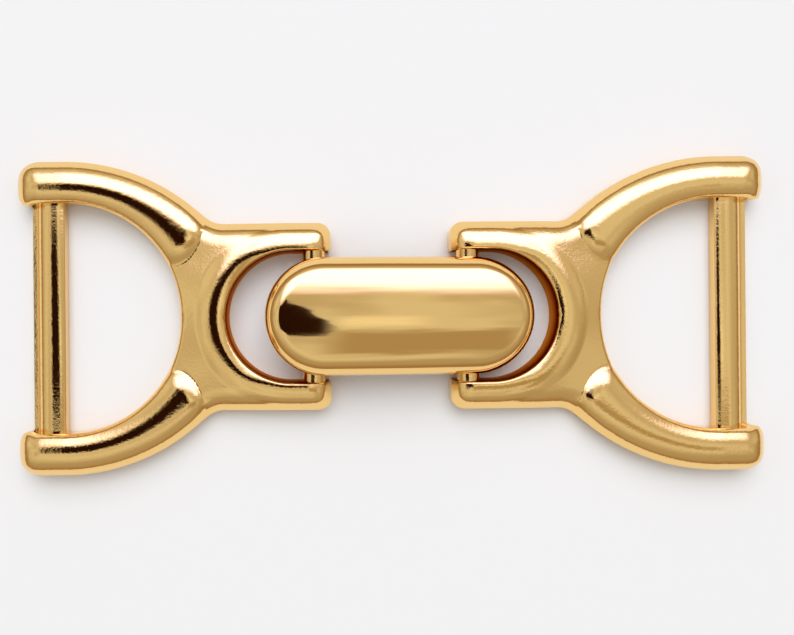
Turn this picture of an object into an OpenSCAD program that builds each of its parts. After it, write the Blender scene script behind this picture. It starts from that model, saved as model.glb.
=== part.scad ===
// Strap clasp: two cast frames joined by a domed link plate, lying flat with the face up.
// Millimetres. +X runs along the strap, +Z out of the face, and the undersides rest on z = 0.
// The origin is under the middle of the clasp, on the surface that it lies on.

/* [Strap end] */
// Radius of the D opening's round side
d_radius = 10.15; // [9.5:0.05:10.5]
// Distance from the middle of the clasp to the centre of the D
d_centre = 28.6; // [28:0.1:30]
// Radius of the arms' outer curve
bow_radius = 17.4; // [17:0.1:17.8]
// How far the outer curve's centre lies beyond the D's centre, across the strap
bow_offset = 3.6; // [3.4:0.1:3.8]
// Length of the arms past the D's centre
arm_end = 4.15; // [4:0.05:5]
// Height of the arms' crest
arm_height = 3.4; // [3.2:0.05:3.6]
// Radius of the rounded top of the arms and of the bead round the yoke
bead_radius = 2.5; // [2.3:0.1:2.7]
// Radius of their outer side, where it turns down
bead_side_radius = 1.1; // [0.9:0.1:1.3]
// Distance of their crest from the outer edge
bead_reach = 2.1; // [1.9:0.05:2.3]
// Radius of the arms' inner side at the free end
arm_inner_round = 2.5; // [2.2:0.1:2.8]
// Radius of the arms' inner side at the neck
arm_neck_round = 4.2; // [3.6:0.1:5]
// How far the arm's free end swells past the strap bar's line
end_swell = 0.25; // [0:0.05:0.4]
// Distance of the strap bar's middle from the D's centre
strap_bar_inset = 1.8; // [1.7:0.05:1.9]
// Width of the strap bar
strap_bar_w = 3; // [2.8:0.1:3.2]
// Height of the strap bar
strap_bar_h = 1.6; // [1.5:0.1:1.9]
// Radius of the strap bar's crowned face
strap_bar_crown = 2.1; // [1.9:0.1:2.6]

/* [Yoke] */
// Distance from the middle of the clasp to the tips' end faces
tip_gap = 5.3; // [5.1:0.1:5.6]
// Half the width of the yoke over its straight sides
yoke_half_w = 8.25; // [8:0.05:8.5]
// Radius of the yoke's opening, at the face
yoke_radius = 5.75; // [5.6:0.05:6]
// Distance from the middle of the clasp to the centre of the yoke's round opening
yoke_centre = 8.75; // [8.5:0.05:9]
// Radius of the hollow corner between the arm and the yoke
neck_round = 2.6; // [2.2:0.1:3]
// Angle of the arm's outer side where it runs into the neck
neck_angle = 50.5; // [49.5:0.1:52]
// Height of the neck beside the yoke's bead
neck_height = 3; // [2.85:0.05:3.1]
// Fall of the neck towards the D, as a slope
neck_slope = 0.24; // [0.18:0.02:0.3]
// Height of the bead round the yoke
bead_height = 3.3; // [3.15:0.05:3.4]
// Distance of that bead's crest from the opening
crest_inset = 0.85; // [0.75:0.05:1]
// Radius of the bead's side towards the opening
crest_flank_r = 3; // [2.6:0.1:3.4]
// Height that the low ledge along the outer edge is rounded down from
ledge_height = 2.65; // [2.5:0.05:2.75]
// Draft of the opening's wall, which is narrower at the back
opening_draft = 0.1; // [0.1:0.05:0.3]
// Radius of the crossbar between the tips
crossbar_r = 1; // [0.9:0.05:1.05]
// Height of the crossbar's centre
crossbar_z = 2; // [1.95:0.05:2.1]
// Distance of the crossbar's centre from the tips' end faces
crossbar_inset = 1.5; // [1.4:0.05:1.7]

/* [Link plate] */
// Length of the plate
plate_l = 23.4; // [22.8:0.1:23.6]
// Width of the plate, which passes between the tips
plate_w = 10.2; // [9.8:0.1:10.4]
// Thickness of the plate at its middle
plate_h = 2.95; // [2.85:0.05:3.1]
// Rounding of the plate's face edge
plate_round = 1.5; // [1.3:0.05:1.6]
// Radius of the plate's crown across its width
crown_across = 16; // [14:1:30]
// Radius of the plate's crown along its length
crown_along = 110; // [80:10:200]
// Shift of the plate's middle from the middle of the clasp
plate_shift = 0.65; // [0.5:0.05:0.8]
// Height of the plate's back at its middle
plate_z = 3.05; // [2.95:0.05:3.2]
// Tilt of the plate, hinge end up
plate_tilt = 4.5; // [3:0.5:5]
// Outer radius of the eye and of the hook
eye_r = 1.8; // [1.7:0.05:1.85]
// Width of the eye and of the hook, across the strap
eye_w = 8.4; // [7:0.2:9]
// Clearance of the crossbar in the eye and in the hook, on the radius
eye_play = 0.05; // [0.03:0.01:0.08]
// Width of the hook's mouth, which the crossbar snaps through
hook_mouth = 1.7; // [1.5:0.05:1.8]

/* [Hidden] */
$fn = 64;
tiny = 0.01;

// Bevel round the backs of the castings
back_bevel = 0.25;
// Length of the yoke, from the D's centre to the tips
tip_a = d_centre - tip_gap;
yoke_a = d_centre - yoke_centre;
// Plan radius of the corners at the arm's free end, outside and inside, and at the tip
arm_corner = 2;
arm_inner_corner = 1;
tip_corner = 1.1;
tip_inner_corner = 0.3;
// Centre, radius and direction of the arm's rounded nose, where it drops to the neck
nose_a = 7.4;
nose_y = 9;
nose_r = 3.5;
nose_turn = 39.5;
// Radius and slope of that drop, and how far past the nose it runs
nose_drop_r = 2.6;
nose_drop_flank = 36;
nose_drop_run = 9;
// How much lower the arm's crest gets for each millimetre towards the neck
arm_sink = 0.04;
// How far the crossbar runs into the tips
crossbar_root = 0.8;
// Slopes at which the bead's top ends and its straight flank starts
bead_turn = 33;
bead_flank = 55;
// Slope at which the bead's side towards the opening ends
crest_flank = 24;
// Distance of the bead's crest from the opening at the tips
crest_tip = 0.4;
// Slope of the steep flank under a rounded edge
flank_angle = 60;
// Rounding of the edge of the yoke's opening
opening_round = 0.2;
// Height and slope of the strap bar's sides
strap_bar_wall = 0.7;
strap_bar_flank = 62;
// The arm's free end swells between these places
swell_from = -2.5;
swell_to = -3.5;

// Centre of the hollow corner at the neck
neck_y = yoke_half_w + neck_round;
neck_a = (bow_radius + neck_round - (neck_y + bow_offset) * sin(neck_angle)) / cos(neck_angle);
bow_y = bow_radius - bow_offset;

// Steps of the mesh: across the frame's face, and along each stretch of its half outline
across = 16;
end_steps = 6;
arm_steps = 11;
flank_steps = 3;
neck_steps = 12;
yoke_steps = 7;
tip_steps = 2;

function ease(t) = let (c = min(max(t, 0), 1)) c * c * (3 - 2 * c);
function mix(p, q, t) = p + (q - p) * t;

// Fall of a rounded edge at a given distance in from it: an arc of radius r that starts reach in
// from the edge, then a straight flank once the arc has turned to the flank's slope
function edge_fall(depth, r, reach, flank = flank_angle) =
    let (t = max(reach - max(depth, 0), 0), arc = min(t, r * sin(flank)))
    r - sqrt(r * r - arc * arc) + (t - arc) * tan(flank);
// Distance in from two edges that meet in a corner of radius r
function corner_depth(d1, d2, r) = d1 < r && d2 < r ? r - norm([r - d1, r - d2]) : min(d1, d2);
// How far such a corner's outline draws in, near the end face
function corner_inset(d, r) = d >= r ? 0 : r - sqrt(r * r - (r - d) * (r - d));

// Half of the frame is worked out in (a, y): a runs from the D's centre towards the tips, y across

// Distance in from the outer outline: straight arm end, outer curve, slope, hollow corner, straight yoke
function slope_depth(a, y) = bow_radius - a * cos(neck_angle) - (y + bow_offset) * sin(neck_angle);
function neck_depth(a, y) =
    a >= neck_a ? yoke_half_w - y
    : (a - neck_a) * sin(neck_angle) < (y - neck_y) * cos(neck_angle) ? slope_depth(a, y)
    : norm([a - neck_a, y - neck_y]) - neck_round;
function outer_depth(a, y) =
    a < 0 ? bow_y - y
    : atan2(y + bow_offset, a) > neck_angle ? bow_radius - norm([a, y + bow_offset])
    : neck_depth(a, y);

// Inner side of the arm past the D's centre, with its swollen free end
function arm_inner_y(a) = d_radius - end_swell * ease((a - swell_from) / (swell_to - swell_from));
function d_depth(a, y) = a < 0 ? y - arm_inner_y(a) : norm([a, y]) - d_radius;
function opening_depth(a, y) = a < yoke_a ? norm([a - yoke_a, y]) - yoke_radius : y - yoke_radius;

// Drop of a bead's side at distance t from its crest: an arc of radius r1 down to slope turn1, one of
// radius r2 down to slope turn2, then a straight flank
function bead_fall(t, r1 = bead_radius, turn1 = bead_turn, r2 = bead_side_radius, turn2 = bead_flank) =
    let (
        t1 = r1 * sin(turn1),
        t2 = t1 + r2 * (sin(turn2) - sin(turn1)),
        c = max(t, 0),
        u = min(max(c - t1, 0), t2 - t1) + r2 * sin(turn1)
    )
    r1 - sqrt(r1 * r1 - pow(min(c, t1), 2))
    + r2 * cos(turn1) - sqrt(r2 * r2 - u * u)
    + max(c - t2, 0) * tan(turn2);
// Distance past two crests that meet in a rounded corner
function both(t1, t2) = pow(pow(max(t1, 0), 3) + pow(max(t2, 0), 3), 1 / 3);
// The higher of two surfaces, with a hollow of size w where they meet
function higher(z1, z2, w) =
    let (h = min(max(0.5 + 0.5 * (z1 - z2) / w, 0), 1))
    mix(z2, z1, h) + w * h * (1 - h);

// Height of each arm: a bead that sinks a little towards the neck and drops at its rounded nose
function nose_depth(a, y) =
    let (ahead = (a - nose_a) * cos(nose_turn) - (y - nose_y) * sin(nose_turn))
    ahead > 0 ? max(norm([a - nose_a, y - nose_y]) - nose_r, 0) : 0;
function arm_z(a, y) =
    let (
        along = pow(min(max(a, 0), 11) / 11, 1.6),
        inner_r = mix(arm_inner_round, arm_neck_round, along),
        inner_reach = mix(bow_y - d_radius - bead_reach + 0.05, 2.65, along)
    )
    arm_height - arm_sink * max(a, 0)
    - bead_fall(both(bead_reach - outer_depth(a, y), bead_reach - a - arm_end))
    - edge_fall(d_depth(a, y), inner_r, inner_reach)
    - edge_fall(nose_drop_run - nose_depth(a, y), nose_drop_r, nose_drop_run, nose_drop_flank);

// Height of the bead round the yoke's opening; turn is the angle round the opening from the D's side
function opening_turn(a, y) = a < yoke_a ? atan2(y, yoke_a - a) : 90;
function yoke_z(a, y) =
    let (
        turn = opening_turn(a, y),
        opening = opening_depth(a, y),
        crest = mix(crest_inset, crest_tip, ease((turn - 45) / 30)),
        t = opening - crest - 0.1,
        u = bead_reach - 0.25 - outer_depth(a, y)
    )
    bead_height - bead_fall(both((t + u + norm([t - u, 0.5])) / 2, bead_reach - (tip_a - a)))
    - bead_fall(crest - opening, 1.2, 12, crest_flank_r, crest_flank);

// Height of the neck, which falls away from the yoke's bead, and of the ledge along the outer edge
function neck_z(a, y) =
    let (
        opening = opening_depth(a, y),
        turn = opening_turn(a, y),
        slope = neck_slope * (1 - 0.7 * ease((turn - 30) / 35)),
        d = min(max((opening - 1.8) / 0.3, -30), 30)
    )
    neck_height - slope * 0.3 * ln(1 + exp(d))
    - bead_fall(both(bead_reach - outer_depth(a, y), bead_reach - (tip_a - a)))
    - edge_fall(opening, 0.9, 1.6, 35) + 0.18 * ease((turn - 25) / 55);
function ledge_z(a, y) =
    let (
        end = min(a + arm_end, tip_a - a),
        rim = corner_depth(outer_depth(a, y), end, a < 0 ? arm_corner : tip_corner)
    )
    ledge_height - 0.45 * ease((a - 12) / 7) - edge_fall(rim, 1.6, 2, 50) - 1.2 * max(rim - 1.1, 0);

function frame_z(a, y) =
    let (
        arm_and_neck = higher(arm_z(a, y), neck_z(a, y), 0.02),
        with_yoke = higher(arm_and_neck, yoke_z(a, y), 0.28)
    )
    higher(with_yoke, ledge_z(a, y), 0.12)
    - edge_fall(opening_depth(a, y), opening_round, opening_round, 70)
    - edge_fall(d_depth(a, y), 0.4, 0.35);

// Stations of the half frame: [outer point, inner point, which way the inner wall faces]
// The wall faces the D (0), the yoke's opening (1), or there is none, on the middle line (2)
function end_step(i, r) = r * (1 - cos(90 * i / end_steps));
function bow_point(angle) = [bow_radius * cos(angle), bow_radius * sin(angle) - bow_offset];
function d_point(angle) = d_radius * [cos(angle), sin(angle)];
function yoke_point(angle) = [yoke_a + yoke_radius * cos(angle), yoke_radius * sin(angle)];
function neck_point(t) =
    [neck_a, neck_y] - neck_round * [cos(mix(neck_angle, 90, t)), sin(mix(neck_angle, 90, t))];
// Lengths of the rounded arm end and of the rounded tip
end_run = 1.85;
tip_run = 1.6;
// Angles round the D where the hollow corner starts, and where it meets the neck's middle
d_turn = 44;
d_neck = 27;
// Angle round the yoke's opening where the neck ends
yoke_neck = 150;

function arm_end_stations() = [for (i = [0:end_steps])
    let (d = end_step(i, end_run), a = d - arm_end)
    [[a, bow_y - corner_inset(d, arm_corner)],
     [a, arm_inner_y(a) + corner_inset(d, arm_inner_corner)], 0]];
function arm_stations() = concat(
    [for (a = [-1.5, -0.75]) [[a, bow_y], [a, arm_inner_y(a)], 0]],
    [for (i = [0:arm_steps - 1]) let (t = i / arm_steps)
        [bow_point(mix(90, neck_angle, t)), d_point(mix(90, d_turn, t)), 0]],
    [for (i = [0:flank_steps - 1]) let (t = i / flank_steps)
        [mix(bow_point(neck_angle), neck_point(0), t), d_point(mix(d_turn, d_neck, t)), 0]]);
function neck_inner(t) =
    t < 1 / 3 ? [d_point(d_neck * (1 - 3 * t)), 0]
    : t < 2 / 3 - 0.001 ? [[mix(d_radius, yoke_a - yoke_radius, 3 * t - 1), 0], 2]
    : [yoke_point(mix(180, yoke_neck, 3 * t - 2)), 1];
function neck_stations() = [for (i = [0:neck_steps - 1]) let (t = i / neck_steps, inner = neck_inner(t))
    [neck_point(t), inner[0], inner[1]]];
function yoke_stations() = concat(
    [for (i = [0:yoke_steps - 1]) let (t = i / yoke_steps)
        [[mix(neck_a, yoke_a, t), yoke_half_w], yoke_point(mix(yoke_neck, 90, t)), 1]],
    [for (i = [0:tip_steps - 1]) let (a = mix(yoke_a, tip_a - tip_run, i / tip_steps))
        [[a, yoke_half_w], [a, yoke_radius], 1]]);
function tip_stations() = [for (i = [end_steps:-1:0])
    let (d = end_step(i, tip_run), a = tip_a - d)
    [[a, yoke_half_w - corner_inset(d, tip_corner)],
     [a, yoke_radius + corner_inset(d, tip_inner_corner)], 1]];
stations = concat(arm_end_stations(), arm_stations(), neck_stations(), yoke_stations(), tip_stations());

// Ring of points round one station: back and wall outside, the face, then wall and back inside
function wall_way(inner, side) =
    side == 0 ? (inner[0] > 0 ? -inner / norm(inner) : [0, -1])
    : inner[0] < yoke_a ? ([yoke_a, 0] - inner) / yoke_radius : [0, -1];
function ring_points(s) =
    let (
        outer = s[0], inner = s[1], side = s[2],
        way = (inner - outer) / norm(inner - outer),
        wall = inner + (side == 1 ? opening_draft : 0) * wall_way(inner, side),
        back = side == 2 ? inner : wall - back_bevel * (side == 1 ? wall_way(inner, side) : way)
    )
    concat(
        [[each outer + back_bevel * way, 0], [each outer, back_bevel]],
        [for (j = [0:across]) let (p = outer + (inner - outer) * (1 - cos(180 * j / across)) / 2)
            [each p, frame_z(p[0], p[1])]],
        [[each wall, back_bevel], [each back, 0]]);
ring_size = across + 5;

// Faces between the rings of a half frame, whose points start at index base
function quad(p, q, r, s, flip) = flip ? [[p, r, q], [p, s, r]] : [[p, q, r], [p, r, s]];
function half_faces(base, flip) = concat(
    [for (i = [0:len(stations) - 2], j = [0:ring_size - 1])
        let (
            k = (j + 1) % ring_size,
            open_i = stations[i][2] == 2 || stations[i][1][1] == 0,
            open_n = stations[i + 1][2] == 2 || stations[i + 1][1][1] == 0,
            on_middle = open_i && open_n && j >= across + 2 && j < ring_size - 1
        )
        if (!on_middle)
            each quad(base + i * ring_size + j, base + i * ring_size + k,
                base + (i + 1) * ring_size + k, base + (i + 1) * ring_size + j, flip)],
    let (last = base + (len(stations) - 1) * ring_size)
    [[for (j = [0:ring_size - 1]) base + (flip ? j : ring_size - 1 - j)],
     [for (j = [0:ring_size - 1]) last + (flip ? ring_size - 1 - j : j)]]);

module casting() {
    half = [for (s = stations) each ring_points(s)];
    other = [for (p = half) [p[0], -p[1], p[2]]];
    polyhedron(
        points = [for (p = concat(half, other)) [d_centre - p[0], p[1], p[2]]],
        faces = concat(half_faces(0, false), half_faces(len(half), true)),
        convexity = 6);
}

// Bar across the strap, with a crowned face, steep sides and a flat back
module strap_bar() {
    w = strap_bar_w / 2;
    top = strap_bar_h + 0.2;
    top_w = w - (top - strap_bar_wall) / tan(strap_bar_flank);
    translate([d_centre + strap_bar_inset, 0, 0]) rotate([90, 0, 0]) intersection() {
        translate([0, strap_bar_h - strap_bar_crown, 0])
            cylinder(r = strap_bar_crown, h = 2 * (d_radius + 0.9), center = true);
        linear_extrude(height = 2 * (d_radius + 0.8), center = true)
            polygon([[back_bevel - w, tiny], [w - back_bevel, tiny], [w, back_bevel], [w, strap_bar_wall],
                [top_w, top], [-top_w, top], [-w, strap_bar_wall], [-w, back_bevel]]);
    }
}

module crossbar() {
    translate([tip_gap + crossbar_inset, 0, crossbar_z]) rotate([90, 0, 0])
        cylinder(r = crossbar_r, h = 2 * (yoke_radius + crossbar_root), center = true);
}

module frame() {
    union() {
        casting();
        strap_bar();
        crossbar();
    }
}

// Stadium outline round the plate at a given distance in from its edge, from the right-hand end round
arc_steps = 8;
side_steps = 6;
core = (plate_l - plate_w) / 2;
function stadium(inset) =
    let (r = plate_w / 2 - inset)
    concat(
        [for (i = [0:arc_steps]) [core + r * cos(90 * i / arc_steps), r * sin(90 * i / arc_steps)]],
        [for (i = [1:side_steps]) [core - 2 * core * i / side_steps, r]],
        [for (i = [1:2 * arc_steps])
            [-core + r * cos(90 + 90 * i / arc_steps), r * sin(90 + 90 * i / arc_steps)]],
        [for (i = [1:side_steps]) [-core + 2 * core * i / side_steps, -r]],
        [for (i = [1:arc_steps - 1])
            [core + r * cos(270 + 90 * i / arc_steps), r * sin(270 + 90 * i / arc_steps)]]);

function plate_top(p, inset) =
    plate_h - p[0] * p[0] / (2 * crown_along) - p[1] * p[1] / (2 * crown_across)
    - edge_fall(inset, plate_round, plate_round, 89);

// Insets of the rings over the face: close together round the edge, then out to the middle line
face_insets = concat(
    [for (i = [0:6]) plate_round * (1 - cos(15 * i))],
    [2.4, 3.4, 4.5]);

module plate() {
    rings = concat(
        [[for (p = stadium(back_bevel)) [each p, 0]], [for (p = stadium(0)) [each p, back_bevel]]],
        [for (inset = face_insets) [for (p = stadium(inset)) [each p, plate_top(p, inset)]]]);
    n = len(rings[0]);
    last = (len(rings) - 1) * n;
    polyhedron(
        points = [for (ring = rings) each ring],
        faces = concat(
            [[for (i = [0:n - 1]) i]],
            [for (k = [0:len(rings) - 2], i = [0:n - 1])
                let (m = (i + 1) % n)
                each quad(k * n + i, (k + 1) * n + i, (k + 1) * n + m, k * n + m, false)],
            [for (i = [0:n / 2 - 1])
                each quad(last + i, last + (n - i) % n, last + n - i - 1, last + i + 1, false)]),
        convexity = 4);
}

// Barrel under one end of the plate, with the neck that joins it to the plate's back
module barrel(x) {
    neck_w = 3;
    translate([x, 0, crossbar_z]) rotate([90, 0, 0]) cylinder(r = eye_r, h = eye_w, center = true);
    translate([x - neck_w / 2, -eye_w / 2, crossbar_z]) cube([neck_w, eye_w, plate_z + 1 - crossbar_z]);
}

// Plate with a cross groove in its back, which keeps its rim clear of the right-hand crossbar
module grooved_plate(bar_x) {
    half_w = crossbar_r + 0.4;
    difference() {
        translate([plate_shift, 0, plate_z]) rotate([0, plate_tilt, 0]) plate();
        translate([bar_x - half_w, -plate_w, 0])
            cube([2 * half_w, 2 * plate_w, crossbar_z + crossbar_r + 0.3]);
    }
}

module link() {
    bar_x = tip_gap + crossbar_inset;
    difference() {
        union() {
            grooved_plate(bar_x);
            barrel(-bar_x);
            barrel(bar_x);
        }
        for (x = [-bar_x, bar_x])
            translate([x, 0, crossbar_z]) rotate([90, 0, 0])
                cylinder(r = crossbar_r + eye_play, h = eye_w + 1, center = true);
        translate([bar_x - hook_mouth / 2, -eye_w / 2 - 1, crossbar_z - eye_r - 1])
            cube([hook_mouth, eye_w + 2, eye_r + 1]);
    }
}

module left_frame() {
    color("goldenrod") rotate([0, 0, 180]) frame();
}

module right_frame() {
    color("goldenrod") frame();
}

module link_plate() {
    color("gold") link();
}

left_frame();
right_frame();
link_plate();
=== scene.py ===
"""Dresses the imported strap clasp: polished gold castings on a pale floor, seen from straight above."""

import math

import bmesh
import bpy
import numpy as np
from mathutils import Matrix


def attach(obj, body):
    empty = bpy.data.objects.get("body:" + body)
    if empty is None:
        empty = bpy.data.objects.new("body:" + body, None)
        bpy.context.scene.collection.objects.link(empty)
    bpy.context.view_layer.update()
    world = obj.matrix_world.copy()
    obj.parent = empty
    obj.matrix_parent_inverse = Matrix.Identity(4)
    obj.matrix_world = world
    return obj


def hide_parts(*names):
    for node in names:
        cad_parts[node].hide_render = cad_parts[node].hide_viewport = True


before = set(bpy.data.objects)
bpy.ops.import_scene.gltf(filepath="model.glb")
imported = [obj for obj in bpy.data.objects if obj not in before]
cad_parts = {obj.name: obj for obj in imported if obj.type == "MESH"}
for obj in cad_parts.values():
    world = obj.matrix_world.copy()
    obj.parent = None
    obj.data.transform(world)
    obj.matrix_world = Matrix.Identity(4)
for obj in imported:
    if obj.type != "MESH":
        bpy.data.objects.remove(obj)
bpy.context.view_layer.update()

bl_info = {
    "name": "Strap clasp",
    "version": (1, 0, 0),
    "blender": (4, 5, 0),
    "location": "View3D > Sidebar > Clasp",
    "description": "Builds the polished castings of a strap clasp and the studio that shows them",
    "category": "Object",
}

MM = 0.001


def length_prop(name, description, mm):
    """A length that the sidebar shows in scene units, given in millimetres."""
    return bpy.props.FloatProperty(
        name=name, description=description, default=mm * MM, unit="LENGTH", subtype="DISTANCE", precision=5)


def hex_prop(name, what, colour):
    """A colour that a user types as an sRGB hex value."""
    return bpy.props.StringProperty(
        name=name, description="Colour of " + what + ", as an sRGB hex value", default=colour)


class ClaspFrameSizes(bpy.types.PropertyGroup):
    """Sizes of the cast frames"""

    d_radius: length_prop("D radius", "Radius of the D opening's round side", 10.15)
    d_centre: length_prop("D centre", "Distance from the middle of the clasp to the D's centre", 28.6)
    bow_radius: length_prop("Bow radius", "Radius of the arms' outer curve", 17.4)
    bow_offset: length_prop("Bow offset", "How far the outer curve's centre lies past the middle line", 3.6)
    arm_end: length_prop("Arm end", "Length of the arms past the D's centre", 4.15)
    tip_gap: length_prop("Tip gap", "Distance from the middle of the clasp to the tips' end faces", 5.3)
    yoke_centre: length_prop("Yoke centre", "Distance from the clasp's middle to the yoke's centre", 8.75)
    yoke_radius: length_prop("Yoke radius", "Radius of the yoke's opening, at the face", 5.75)
    yoke_half_w: length_prop("Yoke half width", "Half the width of the yoke over its straight sides", 8.25)
    arm_height: length_prop("Arm height", "Height of the arms' crest", 3.4)
    neck_height: length_prop("Neck height", "Height of the neck beside the yoke's bead", 3.0)
    bead_height: length_prop("Bead height", "Height of the bead round the yoke's opening", 3.3)
    ledge_height: length_prop("Ledge height", "Height of the outer edge's ledge, before rounding", 2.65)
    strap_bar_inset: length_prop("Strap bar place", "From the D's centre to the strap bar's middle", 1.8)
    strap_bar_w: length_prop("Strap bar width", "Width of the strap bar", 3.0)
    strap_bar_h: length_prop("Strap bar height", "Height of the strap bar", 1.6)
    crossbar_r: length_prop("Crossbar radius", "Radius of the crossbar between the tips", 1.0)


class ClaspPlateSizes(bpy.types.PropertyGroup):
    """Sizes of the link plate"""

    length: length_prop("Length", "Length of the plate", 23.4)
    width: length_prop("Width", "Width of the plate", 10.2)
    height: length_prop("Thickness", "Thickness of the plate at its middle", 2.95)
    edge: length_prop("Edge rounding", "Rounding of the plate's face edge", 1.5)
    crown_across: length_prop("Crown across", "Radius of the plate's crown across its width", 16.0)
    crown_along: length_prop("Crown along", "Radius of the plate's crown along its length", 110.0)
    tilt: bpy.props.FloatProperty(
        name="Tilt", description="Tilt of the plate, hinge end up", default=math.radians(4.5),
        subtype="ANGLE")


class ClaspLook(bpy.types.PropertyGroup):
    """Colours and studio of the clasp"""

    gold: hex_prop("Gold", "the plating", "#FAD186")
    # The recess colours paint shade on a recessed wall: dark under its edge, lighter at its foot
    recess_painted_shade: hex_prop("Recess top", "a recessed wall under its edge", "#641E06")
    recess_foot: hex_prop("Recess foot", "a recessed wall at its foot", "#DA9A56")
    floor: hex_prop("Floor", "the floor", "#ECEEF1")
    window: bpy.props.FloatProperty(
        name="Window", description="Strength of the light that falls on the floor", default=1.75, min=0.0)
    softbox: bpy.props.FloatProperty(
        name="Softbox", description="Brightness of the softbox seen in the metal", default=4.0, min=0.0)
    camera_height: length_prop("Camera height", "Height of the lens over the floor", 80.0)


def srgb(hex_colour):
    """Linear RGBA of an sRGB hex colour."""
    parts = [int(hex_colour.lstrip("#")[i:i + 2], 16) / 255 for i in (0, 2, 4)]
    return tuple(c / 12.92 if c <= 0.04045 else ((c + 0.055) / 1.055) ** 2.4 for c in parts) + (1.0,)


def add_node(tree, kind, settings=None, inputs=None, links=()):
    """Adds a node, sets its properties and inputs, and links (output, input) pairs into it."""
    node = tree.nodes.new(kind)
    for key, value in (settings or {}).items():
        setattr(node, key, value)
    for key, value in (inputs or {}).items():
        node.inputs[key].default_value = value
    for source, target in links:
        tree.links.new(source, node.inputs[target])
    return node


# Lengths are in millimetres down to the operators. Angles are in degrees where math.radians isn't named.

# Plan of a casting: corners of the arms' ends and of the tips, and how far along them their rounding runs
ARM_CORNER, ARM_INNER_CORNER, ARM_CORNER_RUN = 2.0, 1.0, 1.85
TIP_CORNER, TIP_INNER_CORNER, TIP_CORNER_RUN = 1.1, 0.3, 1.6
# The arms swell inwards just before their ends
END_SWELL, SWELL_START, SWELL_RUN = 0.25, -2.5, -1.0
# Fillet between the arms and the yoke, and the turn at which the bow runs out into it
NECK_FILLET, NECK_WAY = 2.6, math.radians(50.5)
# Centre, radius and way of the rounded nose with which an arm ends on the neck
NOSE_A, NOSE_Y, NOSE_R, NOSE_WAY = 7.4, 9.0, 3.5, math.radians(39.5)
# Draft of the wall round the yoke's opening, and the bevel round every back
DRAFT, BEVEL = 0.1, 0.25

# Sides of a bead: radius and turn of its wide arc, then of the tighter arc that follows
OUTER_SIDE = (2.5, 33.0, 1.1, 55.0)
YOKE_INNER_SIDE = (1.2, 12.0, 3.0, 24.0)
STRAP_BAR_SIDE = (2.1, 18.0, 1.2, 60.0)
# Rounded edges: radius, reach in from the edge, and slope of the flank
ROUND_FLANK = 60.0
NOSE_EDGE = (2.6, 9.0, 36.0)
NECK_LIP = (0.9, 1.6, 35.0)
LEDGE_EDGE = (1.6, 2.0, 50.0)
OPENING_EDGE = (0.2, 0.2, 70.0)
D_EDGE = (0.4, 0.35, ROUND_FLANK)

# Arms: the crest's place and fall, and their softer side towards the D, which widens from end to neck
BEAD_REACH, ARM_SINK = 2.1, 0.04
ARM_RUN, ARM_RUN_POWER = 11.0, 1.6
ARM_INNER_RADIUS, ARM_INNER_REACH = (2.5, 4.2), (1.6, 2.65)
# Yoke: the crest's distance from the opening, at the neck and by the tips, with the turns between
CREST_IN, CREST_TIP, CREST_TURNS = 0.85, 0.4, (45.0, 30.0)
CREST_FLAT, CREST_BLEND, YOKE_BEAD_REACH = 0.1, 0.5, 1.85
# Neck: its slope away from the yoke, which fades towards the prongs, and its rise there
NECK_SLOPE, NECK_SLOPE_START, NECK_SLOPE_SOFT = 0.24, 1.8, 0.3
NECK_FADE, NECK_FADE_TURNS = 0.7, (30.0, 35.0)
NECK_RISE, NECK_RISE_TURNS = 0.18, (25.0, 55.0)
# Ledge: its drop along the prongs, its width, and how steeply it falls away inside that
LEDGE_DROP, LEDGE_DROP_RUN = 0.45, (12.0, 7.0)
LEDGE_WIDTH, LEDGE_FADE = 1.1, 1.2
# Widths of the hollows where the neck meets an arm, the yoke's bead meets these, and the ledge meets all
KNEE_BLEND, YOKE_BLEND, LEDGE_BLEND = 0.02, 0.28, 0.12

# Bars: the strap bar's crest, walls and back, and the crossbar's place and how far it runs into each prong
STRAP_BAR_CREST, STRAP_BAR_WALL, STRAP_BAR_HALF = -0.4, 0.7, 10.75
STRAP_BAR_LIFT, STRAP_BAR_BEVEL = 0.01, 0.15
CROSSBAR_INSET, CROSSBAR_Z, CROSSBAR_ROOT = 1.5, 2.0, 0.8
# Which faces of a casting are left as cast and get painted shade: walls of the yoke's opening, clear of the
# tips and the crossbar
WALL_MARGIN, WALL_TILT, TIP_MARGIN = 0.02, 0.5, 0.2
CROSSBAR_MARGIN, CROSSBAR_SPAN = 0.05, 5.6

# Link: its eye and hook, and the neck over each, whose top stands inside the plate
EYE_R, EYE_W, EYE_PLAY, HOOK_MOUTH = 1.8, 8.4, 0.05, 1.7
EYE_NECK_W, EYE_NECK_SIDE, EYE_NECK_TURNS, EYE_NECK_IN = 3.0, 0.45, (25.0, 155.0), 1.0
# The plate's place, the half width of the strip that closes its face, and the steepest slope of its edge
PLATE_SHIFT, PLATE_Z, PLATE_CAP, PLATE_FLANK = 0.65, 3.049, 0.02, 89.0
# Room that the groove in the plate's back leaves round the crossbar
GROOVE_SIDE, GROOVE_TOP = 0.4, 0.3

# Fineness of the meshes
CORNER_STEPS, ARM_STEPS, BOW_STEPS, SLOPE_STEPS = 16, 12, 48, 14
NECK_STEPS, YOKE_STEPS, PRONG_STEPS = 18, 34, 10
FACE_STEPS, WALL_STEPS = 56, 3
BAR_STEPS, STRAP_BAR_STEPS, ROD_SIDES, BARREL_STEPS, EYE_NECK_STEPS = 11, 44, 48, 64, 8
PLATE_ARC_STEPS, PLATE_SIDE_STEPS, PLATE_EDGE_RINGS, PLATE_FACE_RINGS = 40, 60, 22, 26
PLATE_WALL_RINGS = (0.0, 0.33, 0.66)
# Points closer than this are one point, and a point is on the middle line within this
WELD, SLIVER, ON_MIDDLE = 0.0005, 0.0002, 1e-9
SHARP_EDGE = math.radians(35)

QUARTER = math.pi / 2
TO_D, TO_YOKE, TO_MIDDLE = range(3)


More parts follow.
